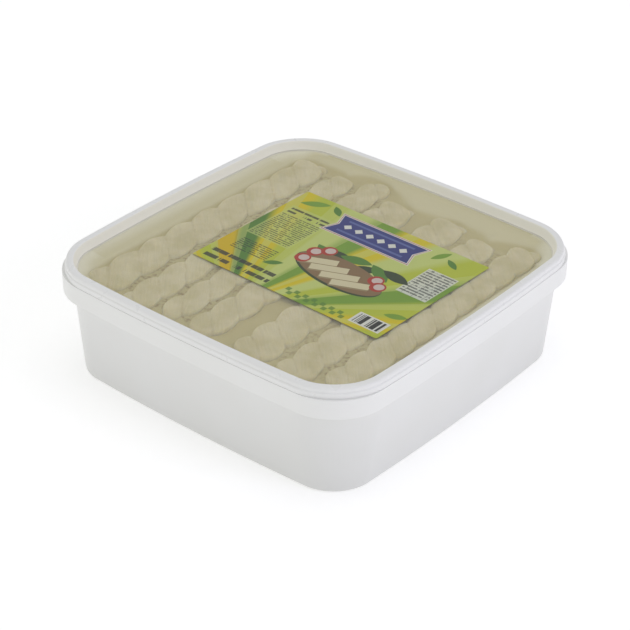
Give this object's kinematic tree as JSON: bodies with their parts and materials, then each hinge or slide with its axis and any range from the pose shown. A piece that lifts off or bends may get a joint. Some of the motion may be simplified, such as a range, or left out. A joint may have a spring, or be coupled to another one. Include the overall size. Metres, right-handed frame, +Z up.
{
  "type": "tub of braided string cheese in brine",
  "caption": "Square plastic tub of braided string cheese in cloudy brine, shut under a clear press-on lid with a sunk panel and a printed label.",
  "frame": {"origin": "middle of the tub's foot, on the surface it stands on", "axes": "+Z up; the braids run along Y; the label's lower edge faces -Y, and its right-hand end is towards +X"},
  "size_m": [0.26, 0.26, 0.082],
  "materials": {
    "tub_plastic": "white polypropylene, satin",
    "lid_plastic": "clear polypropylene, milky where it is thick",
    "label_film": "printed film in yellow and green",
    "brine": "cloudy liquid",
    "cheese": "wet pulled curd, fibrous"
  },
  "bodies": {
    "root": {"tub": "tub_plastic", "lid": "lid_plastic", "label": "label_film", "brine": "brine", "braid_1": "cheese", "braid_2": "cheese", "braid_3": "cheese", "braid_4": "cheese", "braid_5": "cheese", "braid_6": "cheese", "braid_7": "cheese"}
  },
  "joints": []
}
